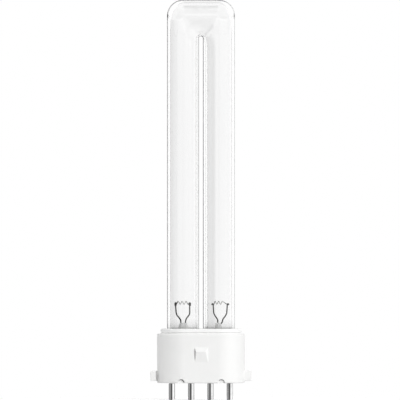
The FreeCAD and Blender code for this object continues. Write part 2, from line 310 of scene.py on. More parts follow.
def glassMaterial(g):
    # clear glass with painted shade in its tint: darker where it is seen along its wall, more so beside the slot and
    # less so round the hollow of the bend, a painted grey shade near the cap, and faintly drawn lengthwise
    material, nodes, shader = newMaterial("tubeGlass", Roughness=0.0, IOR=g["ior"], Transmission_Weight=1.0)
    # painted shade: the tint falls where the glass is seen along its wall
    facing = nodes.add("ShaderNodeLayerWeight", {"Blend": 0.5}).outputs["Facing"]
    edge = nodes.ramp(facing, g["edge"])
    own = nodes.add("ShaderNodeSeparateXYZ", {"Vector": nodes.place()}).outputs
    # painted shade: beside the slot and below its arch the edge shade is doubled
    paintedSlotShade = nodes.fade(nodes.math("ABSOLUTE", own["X"]), *g["slotShadeSide"], 1.0, 0.0)
    paintedSlotShade = nodes.math("MULTIPLY", paintedSlotShade, nodes.fade(own["Z"], *g["slotShadeTop"], 1.0, 0.0))
    edge = nodes.math("MULTIPLY", edge, nodes.mix(paintedSlotShade, 1.0, edge))
    # painted shade spared: the hollow's skin in the bend loses most of the painted edge shade
    hollow = nodes.add("ShaderNodeAttribute", attribute_name="hollow").outputs["Fac"]
    spare = nodes.math("MULTIPLY", hollow, nodes.fade(own["Z"], *g["bendZ"], 0.0, g["spare"]))
    edge = nodes.mix(spare, edge, 1.0)
    # painted shade: the tint darkens towards the cap over the lowest few millimetres of the tube
    foot, top = g["paintedFootShadeZ"]
    height = nodes.math("DIVIDE", nodes.math("SUBTRACT", own["Z"], foot), top - foot, clamp=True)
    paintedFootShade = nodes.ramp(height, g["paintedFootShade"])
    tint = nodes.math("MULTIPLY", edge, paintedFootShade)
    lines = nodes.noise(nodes.place(g["waveStretch"]), g["waveScale"])
    feed(nodes, shader, Base_Color=tint, Normal=nodes.bump(lines, g["wave"]))
    letThrough(nodes, shader)
    return material


stemGlassSet = {"ior": 1.42, "colour": (0.86, 0.87, 0.87, 1), "roughness": 0.14, "clear": 0.42, "cloud": (0.8, 4.0),
                "lump": 0.05, "lumpScale": 1.3}


def stemGlassMaterial(g):
    # pressed glass, a little cloudy, with the uneven skin that the jaws leave
    material, nodes, shader = newMaterial("stemGlass", Roughness=g["roughness"], IOR=g["ior"],
                                          Transmission_Weight=g["clear"])
    tint = nodes.blend(nodes.noise(nodes.place(), *g["cloud"]), g["colour"], (1, 1, 1, 1))
    lumps = nodes.noise(nodes.place(), g["lumpScale"])
    feed(nodes, shader, Base_Color=tint, Normal=nodes.bump(lumps, g["lump"]))
    return material


plasticSet = {"colour": (0.9, 0.9, 0.893, 1), "shade": (0.87, 0.872, 0.865, 1), "cloud": (0.25, 3.0),
              "roughness": (0.34, 0.46), "gloss": (1.2, 3.0), "grain": 0.004, "grainScale": 9.0}
# painted light: the holder is a lighter copy of the shell's plastic, so the collar shows lighter
litInsertSet = {"colour": (0.945, 0.945, 0.94, 1), "shade": (0.925, 0.927, 0.922, 1)}


def plasticMaterial(name, g):
    # moulded plastic: a fine grain in the skin, cloudy differences in gloss, and a hardly uneven colour
    material, nodes, shader = newMaterial(name, IOR=1.5)
    cloud = nodes.noise(nodes.place(), *g["cloud"])
    grain = nodes.noise(nodes.place(), g["grainScale"])
    gloss = nodes.mix(nodes.noise(nodes.place(), *g["gloss"]), *g["roughness"])
    feed(nodes, shader, Base_Color=nodes.blend(cloud, g["colour"], g["shade"]), Roughness=gloss,
         Normal=nodes.bump(grain, g["grain"]))
    return material


nickelSet = {"colour": (0.83, 0.83, 0.83, 1), "dull": (0.69, 0.69, 0.69, 1), "patch": (0.6, 3.0),
             "dullFrom": (0.45, 0.75), "roughness": (0.02, 0.07), "line": 0.0004, "lineScale": 14.0,
             "lineStretch": (1.0, 1.0, 0.06)}


def nickelMaterial(g):
    # bright nickel with fine lines along the pin and a duller patch here and there
    material, nodes, shader = newMaterial("pinNickel", Metallic=1.0)
    patch = nodes.fade(nodes.noise(nodes.place(), *g["patch"]), *g["dullFrom"])
    lines = nodes.noise(nodes.place(g["lineStretch"]), g["lineScale"])
    feed(nodes, shader, Base_Color=nodes.blend(patch, g["colour"], g["dull"]),
         Roughness=nodes.mix(lines, *g["roughness"]), Normal=nodes.bump(lines, g["line"]))
    return material


wireSet = {"colour": (0.06, 0.058, 0.055, 1), "bright": (0.2, 0.19, 0.18, 1), "rub": (1.6, 4.0),
           "rubStretch": (1.0, 1.0, 0.4), "brightFrom": (0.5, 0.8), "roughness": (0.3, 0.55), "line": 0.002,
           "lineScale": 16.0, "lineStretch": (1.0, 1.0, 0.1)}


def wireMaterial(g):
    # darkened nickel iron wire with brighter rubbed places
    material, nodes, shader = newMaterial("leadWire", Metallic=1.0)
    rub = nodes.fade(nodes.noise(nodes.place(g["rubStretch"]), *g["rub"]), *g["brightFrom"])
    lines = nodes.noise(nodes.place(g["lineStretch"]), g["lineScale"])
    feed(nodes, shader, Base_Color=nodes.blend(rub, g["colour"], g["bright"]),
         Roughness=nodes.mix(lines, *g["roughness"]), Normal=nodes.bump(lines, g["line"]))
    return material


coatSet = {"coat": (0.5, 0.5, 0.485, 1), "bare": (0.12, 0.12, 0.125, 1), "bareFrom": (1.75, 2.05), "ragged": 0.3,
           "roughness": (0.9, 0.4), "grit": (14.0, 3.0), "gritDepth": 0.02}


def coatMaterial(side, middle, g):
    # powder on the coil's turns, with bare tungsten at both tails
    material, nodes, shader = newMaterial(side + "CoilCoat")
    place = nodes.place(centre=(middle, 0.0, 0.0))
    away = nodes.math("ABSOLUTE", nodes.add("ShaderNodeSeparateXYZ", {"Vector": place}).outputs["X"])
    grit = nodes.noise(place, *g["grit"])
    ragged = nodes.math("ADD", away, nodes.math("MULTIPLY", grit, g["ragged"]))
    bare = nodes.fade(ragged, *g["bareFrom"])
    feed(nodes, shader, Base_Color=nodes.blend(bare, g["coat"], g["bare"]), Metallic=bare,
         Roughness=nodes.mix(bare, *g["roughness"]), Normal=nodes.bump(grit, g["gritDepth"]))
    return material


cementGrainSet = {"dark": (0.66, 0.63, 0.56, 1), "light": (0.84, 0.82, 0.77, 1), "roughness": 0.9,
                  "grain": (5.0, 5.0), "depth": 0.05}


def cementMaterial(g):
    # grainy cement, off white
    material, nodes, shader = newMaterial("socketCement", Roughness=g["roughness"])
    grain = nodes.noise(nodes.place(), *g["grain"])
    feed(nodes, shader, Base_Color=nodes.blend(grain, g["dark"], g["light"]), Normal=nodes.bump(grain, g["depth"]))
    return material


amalgamSet = {"dark": (0.42, 0.42, 0.43, 1), "light": (0.7, 0.7, 0.71, 1), "roughness": (0.3, 0.55),
              "pits": (6.0, 4.0), "depth": 0.03}


def amalgamMaterial(g):
    # a dull silvery pellet with pits
    material, nodes, shader = newMaterial("amalgamPellet", Metallic=1.0)
    pits = nodes.noise(nodes.place(), *g["pits"])
    feed(nodes, shader, Base_Color=nodes.blend(pits, g["dark"], g["light"]),
         Roughness=nodes.mix(pits, *g["roughness"]), Normal=nodes.bump(pits, g["depth"]))
    return material


tubeGlass = glassMaterial(glassSet)
stemGlass = stemGlassMaterial(stemGlassSet)
shellPlastic = plasticMaterial("shellPlastic", plasticSet)
# painted light: a lighter copy of the shell's plastic for the holder and its collar
litHolderPlastic = plasticMaterial("litHolderPlastic", {**plasticSet, **litInsertSet})
pinNickel = nickelMaterial(nickelSet)
leadWire = wireMaterial(wireSet)
socketCement = cementMaterial(cementGrainSet)
amalgam = amalgamMaterial(amalgamSet)
print("finishes done")


# Tube: two legs and the bend between them, one glass wall

tubeSet = {
    "legX": 6.5, "outerR": 5.8, "innerR": 4.8, "footZ": 7.5, "slotZ": 124.9, "topZ": 138.8,
    "cornerX": 6.0, "shoulderZ": 131.5, "hollowTopZ": 137.75, "roundness": 0.1,
    "lean": 0.34, "leanX": (0, 2.2, 6), "leanEnd": (122, 125.8),
    "dip": 0.55, "dipSoft": (4.5, 2.5), "dipZ": (124.2, 126.6, 133.0), "dipW": (1.2, 126.5, 0.5), "dipGain": 1.4,
    "legRows": 40, "riseRows": 20, "shoulderRows": 40, "crownRows": 24, "around": 96,
}


def uSurface(t, r, cornerX, shoulderZ, topZ, roundness):
    # each row is a slice across the tube between a point on its outer line and a point on the line round the slot:
    # two halves of an ellipse, one out from each middle; the middles lie a radius in from those points, so that a
    # leg is a circle, and the roundness moves them towards the point halfway between; the outer line turns over from
    # the leg to the crown along a quarter of an ellipse
    rise = np.linspace(0, 1, t["riseRows"], endpoint=False)
    turn = np.linspace(0, math.pi / 2, t["shoulderRows"], endpoint=False)
    over = np.linspace(0, 1, t["crownRows"])
    leg = np.linspace(t["footZ"], t["slotZ"], t["legRows"], endpoint=False)
    flat = np.zeros(len(leg) + len(rise))
    wide, high = t["legX"] + r - cornerX, topZ - shoulderZ
    x = np.concatenate([np.full(len(flat) + len(turn), cornerX), cornerX * (1 - over)])
    z = np.concatenate([leg, t["slotZ"] + (shoulderZ - t["slotZ"]) * rise, np.full(len(turn) + len(over), shoulderZ)])
    angle = np.concatenate([flat, turn, np.full(len(over), math.pi / 2)])
    facing = np.arctan2(np.sin(angle) / high, np.cos(angle) / wide)
    outer = np.stack([x + wide * np.cos(angle), z + high * np.sin(angle)], -1)
    middle = outer - r * np.stack([np.cos(facing), np.sin(facing)], -1)
    length = lengthAlong(outer)
    angle = np.clip((length - length[len(leg)]) / (length[-1] - length[len(leg)]), 0, 1) * math.pi / 2
    about = np.stack([np.cos(angle), np.sin(angle)], -1)
    foot = np.stack([0 * z, np.minimum(z, t["slotZ"])], -1)
    foot[:, 1] = np.where(angle > 0, t["slotZ"], foot[:, 1])
    innerMiddle, inner = foot + t["legX"] * about, foot + (t["legX"] - r) * about
    halfway = (outer + inner) / 2
    middle, innerMiddle = (m + (halfway - m) * roundness for m in (middle, innerMiddle))
    back = slice(-2, None, -1)
    turned = np.array([-1.0, 1.0])
    lines = (outer, middle, inner, innerMiddle)
    outer, middle, inner, innerMiddle = (np.concatenate([line, line[back] * turned]) for line in lines)
    half = np.linspace(-math.pi / 2, math.pi / 2, t["around"] // 2 + 1)[:-1]
    slices = [(mid[:, None] + (end - mid)[:, None] * np.cos(half)[:, None], way * r * np.sin(half) + 0 * mid[:, :1])
              for mid, end, way in ((middle, outer, 1), (innerMiddle, inner, -1))]
    return np.concatenate([np.stack([at[..., 0], y, at[..., 1]], -1) for at, y in slices], 1)


def pressedFlats(grid, t):
    # thicker glass over the slot: the hollow's two flats come in over a funnel, more and more towards its foot; below
    # the slot's arch the hollow of the right leg is moved a little away from the slot
    x, y, z = grid[..., 0], grid[..., 1], grid[..., 2]
    base, fromZ, slope = t["dipW"]
    reach = base + slope * np.maximum(z - fromZ, 0)
    low, full, high = t["dipZ"]
    softLeft, softRight = t["dipSoft"]
    across = smooth(x, -reach - softLeft, -reach) * (1 - smooth(x, reach, reach + softRight))
    depth = t["dip"] * smooth(z, low, full) * np.clip((high - z) / (high - full), 0, 1) ** t["dipGain"] * across
    fromX, fullX, farX = t["leanX"]
    lean = t["lean"] * smooth(x, fromX, fullX) * (1 - smooth(x, fullX, farX))
    lean = lean * (1 - smooth(z, *t["leanEnd"]))
    return np.stack([x + lean, y * (1 - depth / t["innerR"]), z], -1)


def makeTube(t):
    # the outer skin down to one foot, the foot's ring, the inner skin back to the other foot, and its ring; an
    # attribute tells the inner skin (1) from the outer (0)
    outside = uSurface(t, t["outerR"], t["legX"], t["topZ"] - t["outerR"], t["topZ"], 0.0)
    hollow = uSurface(t, t["innerR"], t["cornerX"], t["shoulderZ"], t["hollowTopZ"], t["roundness"])
    inside = pressedFlats(hollow, t)
    tube = gridMesh("lampTube", np.concatenate([outside, inside[::-1]]), joined=True)
    skin = np.repeat(np.float32([0, 1]), [outside[..., 0].size, inside[..., 0].size])
    tube.data.attributes.new("hollow", "FLOAT", "POINT").data.foreach_set("value", skin)
    return tube


dress(makeTube(tubeSet), tubeGlass, "discharge_tube")
print("tube done")


# Stems: the flare sealed to the end of each leg, and the press that holds the wires

stemSet = {
    "rimInR": 4.9, "rimOutR": 5.8, "rimFootZ": 6.8, "rimTopZ": 7.5, "seatR": 4.78, "outR": 3.4, "inR": 2.7,
    "flareTopZ": 10.5, "pressFootZ": 13.5, "pressTopZ": 21.8, "waistZ": 19.6, "topT": 0.85,
    "waistW": {"left": 1.75, "right": 1.25}, "topW": {"left": 1.0, "right": 0.95},
    "shift": {"left": 0.05, "right": -0.33},                  # how far the press leans along X
    "bulge": (0.97, 1.6), "thinning": 1.6, "squareness": 1.2, "lidH": 0.35, "lidW": 0.3,
    "pressRows": 48, "around": 72,
}


def makeStem(side, x, g):
    # below: a profile of the flare turned round the axis; above: ellipses with square shoulders, whose width falls
    # along a line to the waist and then along a bulge to the lid, and whose thickness falls faster at first; the lid
    # rounds over along a quarter of an ellipse
    flare = softCorners(
        [(0.2, g["pressFootZ"]), (g["inR"], g["pressFootZ"]), (g["inR"], g["flareTopZ"]),
         (g["rimInR"], g["rimFootZ"]), (g["rimOutR"], g["rimFootZ"]), (g["rimOutR"], g["rimTopZ"]),
         (g["seatR"], g["rimTopZ"]), (g["outR"], g["flareTopZ"]), (g["outR"], g["pressFootZ"])],
        [0, 0.5, 1.0, 0.15, 0.2, 0.15, 0.2, 1.0, 0])
    lower = spin(flare, x, g["around"])
    z = np.linspace(g["pressFootZ"], g["pressTopZ"], g["pressRows"] + 1)[1:]
    u = (z - g["pressFootZ"]) / (g["pressTopZ"] - g["pressFootZ"])
    waist, top = g["waistW"][side], g["topW"][side]
    line = g["outR"] + (waist - g["outR"]) * (z - g["pressFootZ"]) / (g["waistZ"] - g["pressFootZ"])
    over = np.clip((z - g["waistZ"]) / (g["pressTopZ"] - g["waistZ"]), 0, 1)
    fall, bend = g["bulge"]
    width = np.where(z < g["waistZ"], line, top + (waist - top) * np.sqrt(1 - fall * over ** bend))
    depth = g["topT"] + (g["outR"] - g["topT"]) * (1 - u) ** g["thinning"]
    lid = np.clip((z - g["pressTopZ"] + g["lidH"]) / g["lidH"], 0, 1)
    width, depth = (size - g["lidW"] * (1 - np.sqrt(1 - lid ** 2)) for size in (width, depth))
    power = (2 / (2 + g["squareness"] * u))[:, None]
    middle = x + g["shift"][side] * smooth(z, g["pressFootZ"], g["waistZ"])[:, None]
    angle = np.linspace(0, 2 * math.pi, g["around"], endpoint=False)
    c, s = np.cos(angle), np.sin(angle)
    upper = np.stack([middle + width[:, None] * np.sign(c) * np.abs(c) ** power,
                      depth[:, None] * np.sign(s) * np.abs(s) ** power, z[:, None] + 0 * c], -1)
    stem = gridMesh(side + "Stem", np.concatenate([lower, upper]))
    dress(stem, stemGlass, side + "_stem")


exhaustSet = {"outR": 1.4, "inR": 0.8, "topZ": 13.5, "shoulderZ": 4.7, "tipZ": 3.4, "tipR": 0.5, "tipH": 0.5}


def makeExhaust(side, x, g):
    # the inside from its closed end up, over the rim, and the outside down to the drawn tip
    profile = softCorners(
        [(0.1, g["shoulderZ"]), (g["inR"], g["shoulderZ"]), (g["inR"], g["topZ"]), (g["outR"], g["topZ"]),
         (g["outR"], g["shoulderZ"]), (g["tipR"], g["tipZ"] + g["tipH"]), (g["tipR"], g["tipZ"]), (0.1, g["tipZ"])],
        [0, 0.5, 0.1, 0.1, 1.2, 0.4, 0.3, 0])
    tube = gridMesh(side + "ExhaustTube", spin(profile, x, 40))
    dress(tube, stemGlass, side + "_exhaust_tube")


pelletSet = {"r": 0.6, "footZ": 4.72, "topZ": 5.72}


def makePellet(x, g):
    # a short rod with well rounded edges
    profile = softCorners([(0.05, g["footZ"]), (g["r"], g["footZ"]), (g["r"], g["topZ"]), (0.05, g["topZ"])],
                          [0, 0.35, 0.35, 0], steps=8)
    dress(gridMesh("amalgamPellet", spin(profile, x, 32)), amalgam, "mercury_pellet")


legX = {"left": -tubeSet["legX"], "right": tubeSet["legX"]}
for side, x in legX.items():
    makeStem(side, x, stemSet)
    makeExhaust(side, x, exhaustSet)
makePellet(legX["left"], pelletSet)
print("stems done")


# Lead wires: from inside each pin, through the press, out in a tulip shape to a hook folded over the coil's tail

leadSet = {
    "d": 0.5, "around": 12, "step": 0.06, "footZ": -4.7, "riseZ": 3.4, "lipZ": 5.4, "lipW": 3.3,
    "flareZ": 11.5, "flareW": 2.2, "bend": 9, "fold": 0.25, "foldSteps": 14, "endSteps": 8,
}
mountShift = {"left": -0.1, "right": 0.4}
pinX = (-10.5, -3.5, 3.5, 10.5)

# the bends from the press up, each as the distance from the mount's middle and the height, then how far the hook's
# end comes down
leadBends = {
    ("left", "outer"): ([(0.72, 20.6), (0.7, 21.6), (0.74, 22.7), (1.25, 23.5),
                         (2.0, 24.3), (2.38, 25.2), (2.62, 27.8), (2.3, 28.75)], 0.85),
    ("left", "inner"): ([(0.9, 20.6), (0.97, 21.6), (1.03, 22.6), (1.35, 23.4),
                         (2.05, 24.2), (2.5, 25.0), (2.52, 27.9), (2.25, 28.7)], 0.8),
    ("right", "inner"): ([(1.2, 20.4), (0.9, 21.6), (0.78, 22.6), (1.05, 23.2),
                          (1.75, 24.1), (2.42, 25.1), (2.62, 26.9), (2.72, 28.4)], 0.25),
    ("right", "outer"): ([(-0.15, 20.9), (0.78, 21.9), (0.9, 22.5), (1.1, 23.2),
                          (1.85, 24.1), (2.4, 25.1), (2.56, 26.9), (2.62, 28.4)], 0.25),
}


def smoothPath(points, step, reach):
    # straight runs sampled at even steps, then averaged twice over a few steps each way, which rounds the corners
    points = np.array(points, float)
    length = lengthAlong(points)
    at = np.linspace(0, length[-1], int(length[-1] / step) + 1)
    path = np.stack([np.interp(at, length, points[:, k]) for k in range(3)], -1)
    window = np.ones(reach) / reach
    for _ in range(2):
        lead = path[:1] + (path[:1] - path[1:2]) * np.arange(reach // 2, 0, -1)[:, None]
        tail = path[-1:] + (path[-1:] - path[-2:-1]) * np.arange(1, reach // 2 + 1)[:, None]
        padded = np.vstack([lead, path, tail])
        path = np.stack([np.convolve(padded[:, k], window, "valid") for k in range(3)], -1)
    return path


def makeLead(side, place, pin, g):
    # a round wire along a smoothed line; the hook is half a turn away from the coil and a short straight end
    x, mount = legX[side], legX[side] + mountShift[side]
    way = math.copysign(1, pin - x)
    bends, drop = leadBends[side, place]
    points = [(pin, 0, g["footZ"]), (pin, 0, g["riseZ"]), (x + way * g["lipW"], 0, g["lipZ"]),
              (x + way * g["flareW"], 0, g["flareZ"])]
    points += [(mount + way * w, 0, z) for w, z in bends]
    path = smoothPath(points, g["step"], g["bend"])
    top = path[-1]
    turn = np.linspace(0, math.pi, g["foldSteps"])[1:, None]
    outward = np.array([way, 0.0, 0.0])
    up = np.array([0.0, 0.0, 1.0])
    arc = top + g["fold"] * (outward * (1 - np.cos(turn)) + up * np.sin(turn))
    down = arc[-1] - up * np.linspace(0, drop, g["endSteps"])[1:, None]
    path = np.vstack([path, arc, down])
    skin = sweep(path, np.array([0.0, 1.0, 0.0]), g["d"] / 2, g["around"])
    lead = gridMesh(side + place.capitalize() + "Lead", skin)
    dress(lead, leadWire, side + "_" + place + "_lead")


for (side, place), pin in zip(leadBends, pinX):
    makeLead(side, place, pin, leadSet)
print("leads done")


# Filaments: a fine coil wound again into three open turns, with straight tails in the hooks

coilSet = {
    "z": 29.03, "r": 0.52, "tailX": 2.62, "tailZ": 28.4, "steps": 1700, "around": 6,
    "turns": {"left": 3.0, "right": 2.5}, "body": {"left": (-2.4, 1.9), "right": (-2.5, 0.86)},
    "fineR": 0.105, "fineWire": 0.055, "fineTurns": 92,
}


def makeFilament(side, g):
    # the middle line is a tail, a helix whose radius opens and closes over a quarter turn, and a tail; a fine helix
    # runs round that line, and a thin circle is carried along it
    start, end = g["body"][side]
    turns = g["turns"][side]
    x = np.linspace(-g["tailX"], g["tailX"], g["steps"])
    share = np.clip((x - start) / (end - start), 0, 1)
    opened = smooth(np.minimum(share, 1 - share) * 4 * turns, 0, 1)
    turn = share * 2 * math.pi * turns
    closed = np.where(share < 0.5, 1.0, math.cos(2 * math.pi * turns))
    beyond = np.interp(x, [-g["tailX"], start, end, g["tailX"]], [1, 0, 0, 1])
    shut = g["z"] - g["r"] * (opened * np.cos(turn) + (1 - opened) * closed)
    line = np.stack([x, g["r"] * opened * np.sin(turn), shut + (g["tailZ"] - shut) * beyond], -1)
    length = lengthAlong(line)
    even = np.linspace(0, length[-1], g["steps"])
    line = np.stack([np.interp(even, length, line[:, k]) for k in range(3)], -1)
    turn = np.interp(even, length, turn)
    first, second = acrossPath(line, np.stack([0 * turn, np.sin(turn), -np.cos(turn)], -1))
    fine = (even / length[-1] * 2 * math.pi * g["fineTurns"])[:, None]
    out = first * np.cos(fine) + second * np.sin(fine)
    middle = np.array([legX[side] + mountShift[side], 0, 0])
    skin = sweep(line + g["fineR"] * out + middle, out, g["fineWire"], g["around"])
    coil = gridMesh(side + "Filament", skin)
    dress(coil, coatMaterial(side, middle[0], coatSet), side + "_filament")


for side in legX:
    makeFilament(side, coilSet)
print("filaments done")


# Holder: the insert whose top is the collar, with a socket for each leg

holderSet = {
    "straight": 6.2, "r": 8.475, "footZ": 5.4, "topZ": 19.65, "edge": 0.4, "grooveZ": (17.97, 18.37), "grooveD": 0.42,
    "socketR": 6.1, "lipZ": 6.8, "lipR": 4.8, "mouth": 0.25,
}


def makeHolder(g):
    # a profile carried round the stadium, with a turned tool cut from it at each leg
    low, high = g["grooveZ"]
    core = g["r"] - g["grooveD"]
    profile = softCorners(
        [(0.5, g["footZ"]), (g["r"], g["footZ"]), (g["r"], low), (core, low), (core, high), (g["r"], high),
         (g["r"], g["topZ"]), (0.5, g["topZ"])],
        [0, 0.2, 0.08, 0.1, 0.1, 0.12, g["edge"], 0])
    holder = gridMesh("tubeHolder", stadiumGrid(profile, g["straight"]))
    over = g["topZ"] + 1
    tool = softCorners(
        [(0.3, g["footZ"] - 1), (g["lipR"], g["footZ"] - 1), (g["lipR"], g["lipZ"]), (g["socketR"], g["lipZ"]),
         (g["socketR"], g["topZ"] - g["mouth"]), (g["socketR"] + g["mouth"], g["topZ"] + 0.02),
         (g["socketR"] + g["mouth"], over), (0.3, over)], [0, 0, 0.1, 0.2, 0.3, 0.02, 0, 0])
    tools = [gridMesh("tool", spin(tool, x, 128)) for x in legX.values()]
    carve(holder, tools, "DIFFERENCE")
    crisp(holder)
    dress(holder, litHolderPlastic, "tube_holder")


cementSet = {"inR": 5.82, "outR": 6.08, "footZ": 8.0, "topZ": 18.95, "dip": 0.12}


def makeCement(side, x, g):
    # a thin ring whose top sags between the glass and the socket
    middle = (g["inR"] + g["outR"]) / 2
    profile = softCorners([(g["inR"], g["footZ"]), (g["outR"], g["footZ"]), (g["outR"], g["topZ"]),
                           (middle, g["topZ"] - g["dip"]), (g["inR"], g["topZ"])], [0.05] * 5, closed=True, steps=4)
    ring = gridMesh(side + "Cement", spin(profile, x, 96), joined=True)
    dress(ring, socketCement, side + "_cement")


makeHolder(holderSet)
for side, x in legX.items():
    makeCement(side, x, cementSet)
print("holder done")


# Shell: the outer cap with its nubs, lugs, notches and pin holes

shellSet = {
    "straight": 6.2, "r": 9.7, "topZ": 17.8, "topEdge": 0.5, "footEdge": 0.45, "inR": 8.5, "ledgeZ": 5.4,
    "ledgeR": 7.7, "floorZ": 2.0, "ends": 48, "sides": 124,
    "rows": ((1.0, 7.2, 10), (7.3, 13.3, 62), (13.6, 16.6, 6)),   # from, to, how many: close ones across the nubs
}
nubSet = {"halfW": 2.6, "topZ": 13.0, "crestZ": 11.3, "footZ": 7.7, "out": 0.8, "slope": 1.1, "steep": 0.45,
          "soft": 0.03, "grooveX": -2.2, "grooveW": 0.36, "grooveZ": (8.2, 12.8), "grooveD": 0.75, "grooveSide": 0.2}
lugSet = {"rootX": 15.0, "endX": 18.3, "halfW": 3.0, "lowZ": 0.7, "highZ": 4.35, "neckX": (15.5, 16.3),
          "neckHalfW": {-1: 1.4, 1: 2.9}, "neckStep": 0.06, "tip": 0.3, "tipStep": 0.05, "corner": 0.22}
notchSet = {"x": (-7.2, 7.35), "z": 0.2, "r": 1.22, "backY": 8.8, "flare": 0.1, "creaseTurn": 60, "creaseSpan": 85,
            "creaseW": (0.28, 0.18), "creaseY": (7.0, 9.0), "creaseSteps": 40, "creaseFall": 1.2,
            "creaseLap": (0.01, 0.03)}
recessSet = {"r": 1.375, "depth": 0.3, "holeR": 0.96}


def nubHeight(x, z, g):
    # the lowest of four slopes and never below the wall, each choice softened by an exponential mean; less a groove
    # along the steep side, whose outline is a lens
    slopes = np.stack([(g["topZ"] - z) * g["out"] / (g["topZ"] - g["crestZ"]),
                       (z - g["footZ"]) * g["out"] / (g["crestZ"] - g["footZ"]),
                       (g["halfW"] - x) / g["slope"], (x - g["grooveX"]) / g["steep"]])
    lowest = -g["soft"] * np.log(np.exp(-slopes / g["soft"]).sum(0))
    low, high = g["grooveZ"]
    lens = g["grooveW"] * np.clip(1 - ((2 * z - low - high) / (high - low)) ** 2, 0, 1)
    groove = g["grooveD"] * smooth(lens - np.abs(x - g["grooveX"]), 0, g["grooveSide"])
    return g["soft"] * np.logaddexp(0, lowest / g["soft"]) - groove


def lugGrid(way, g):
    # a rectangle with round corners carried out along X, pinched at its root and rounded over at its tip
    turn = np.linspace(0, math.pi / 2, 7)
    neckIn, neckOut = g["neckX"]
    x = np.concatenate([[g["rootX"], neckIn - g["neckStep"], neckIn, neckOut, neckOut + g["neckStep"],
                         g["endX"] - g["tip"] - g["tipStep"]], g["endX"] - g["tip"] * (1 - np.sin(turn))])
    shrink = np.concatenate([np.zeros(6), g["tip"] * (1 - np.cos(turn))])
    halfW = np.concatenate([[g["halfW"]] * 2, [g["neckHalfW"][way]] * 2, [g["halfW"]] * (len(x) - 4)]) - shrink
    halfH = (g["highZ"] - g["lowZ"]) / 2 - shrink
    middleZ = (g["highZ"] + g["lowZ"]) / 2
    corner = np.repeat([0, 1, 2, 3], 6)
    angle = corner * math.pi / 2 + np.tile(np.linspace(0, math.pi / 2, 6), 4)
    sy, sz = np.repeat([1, -1, -1, 1], 6), np.repeat([1, 1, -1, -1], 6)
    radius = g["corner"]
    y = sy * (halfW[:, None] - radius) + radius * np.cos(angle)
    z = middleZ + sz * (halfH[:, None] - radius) + radius * np.sin(angle)
    return np.stack([way * x[:, None] + 0 * y, y, z], -1)


def creaseGrid(x, way, width, n):
    # a deep narrow slit along the upper side of a notch, widest in its middle: a thin bar carried round the arch
    t = np.linspace(-1, 1, n["creaseSteps"])
    angle = np.radians(n["creaseTurn"] + n["creaseSpan"] * t)
    thick = width * np.cos(t * math.pi / 2) ** n["creaseFall"]
    lapIn, lapOut = n["creaseLap"]
    inner, outer = n["r"] - thick - lapIn, n["r"] + lapOut + 0 * t
    low, high = n["creaseY"]
    radius = np.stack([inner, outer, outer, inner], -1)
    depth = np.array([low, low, high, high]) + 0 * radius
    across, up = radius * np.cos(angle)[:, None], radius * np.sin(angle)[:, None]
    return np.stack([x - way * across, way * depth, n["z"] + up], -1)


def makeShell(g):
    # a profile carried round the stadium, its outer wall pushed out by the nubs; lugs joined on, notches and the
    # pins' recesses cut away
    outer = softCorners([(0.5, 0), (g["r"], 0), (g["r"], g["topZ"]), (g["inR"], g["topZ"]), (g["inR"], g["ledgeZ"]),
                         (g["ledgeR"], g["ledgeZ"]), (g["ledgeR"], g["floorZ"]), (0.5, g["floorZ"])],
                        [0, g["footEdge"], g["topEdge"], 0.15, 0.1, 0.1, 0.3, 0])
    foot = int(np.argmax(outer[:, 0] >= g["r"] - 1e-9))
    fine = np.concatenate([np.linspace(*part) for part in g["rows"]])
    wall = np.stack([np.full(len(fine), g["r"]), fine], -1)
    profile = np.vstack([outer[:foot + 2], wall, outer[foot + 2:]])
    grid = stadiumGrid(profile, g["straight"], g["ends"], g["sides"])
    x, y, z = grid[..., 0], grid[..., 1], grid[..., 2]
    onWall = (profile[:, :1] >= g["r"] - 1e-6) & (np.abs(x) < g["straight"])
    grid[..., 1] = y + np.sign(y) * np.where(onWall, nubHeight(-x * np.sign(y), z, nubSet), 0)
    shell = gridMesh("baseShell", grid)
    carve(shell, [gridMesh("tool", lugGrid(way, lugSet)) for way in (-1, 1)], "UNION")
    n = notchSet
    arch = softCorners([(0.1, n["backY"]), (n["r"], n["backY"]), (n["r"], g["r"] - n["flare"]),
                        (n["r"] + 3 * n["flare"], g["r"] + 2 * n["flare"]), (0.1, g["r"] + 2 * n["flare"])],
                       [0, 0.15, 0.1, 0, 0], steps=5)
    tools = []
    for x, width in zip(n["x"], n["creaseW"]):
        for way in (-1, 1):
            turned = spin(arch, 0, 72)
            cutter = np.stack([-way * x + turned[..., 0], way * turned[..., 2], n["z"] + turned[..., 1]], -1)
            tools.append(gridMesh("tool", cutter))
            tools.append(gridMesh("tool", creaseGrid(-way * x, way, width, n)))
    r = recessSet
    hole = softCorners([(0.1, -1), (r["r"], -1), (r["r"], r["depth"]), (r["holeR"], r["depth"]),
                        (r["holeR"], g["floorZ"] + 1), (0.1, g["floorZ"] + 1)], [0, 0, 0.08, 0, 0, 0], steps=4)
    tools += [gridMesh("tool", spin(hole, x, 48)) for x in pinX]
    carve(shell, tools, "DIFFERENCE")
    crisp(shell)
    dress(shell, shellPlastic, "base_shell")


makeShell(shellSet)
print("shell done")


# Pins

pinSet = {
    "r": 1.175, "tipZ": -6.3, "tip": 0.55, "shoulderZ": -0.2, "neckR": 0.95, "floorZ": 2.0, "flangeR": 1.6,
    "flangeZ": 2.6, "boreR": 0.5, "boreZ": -5.0,
}


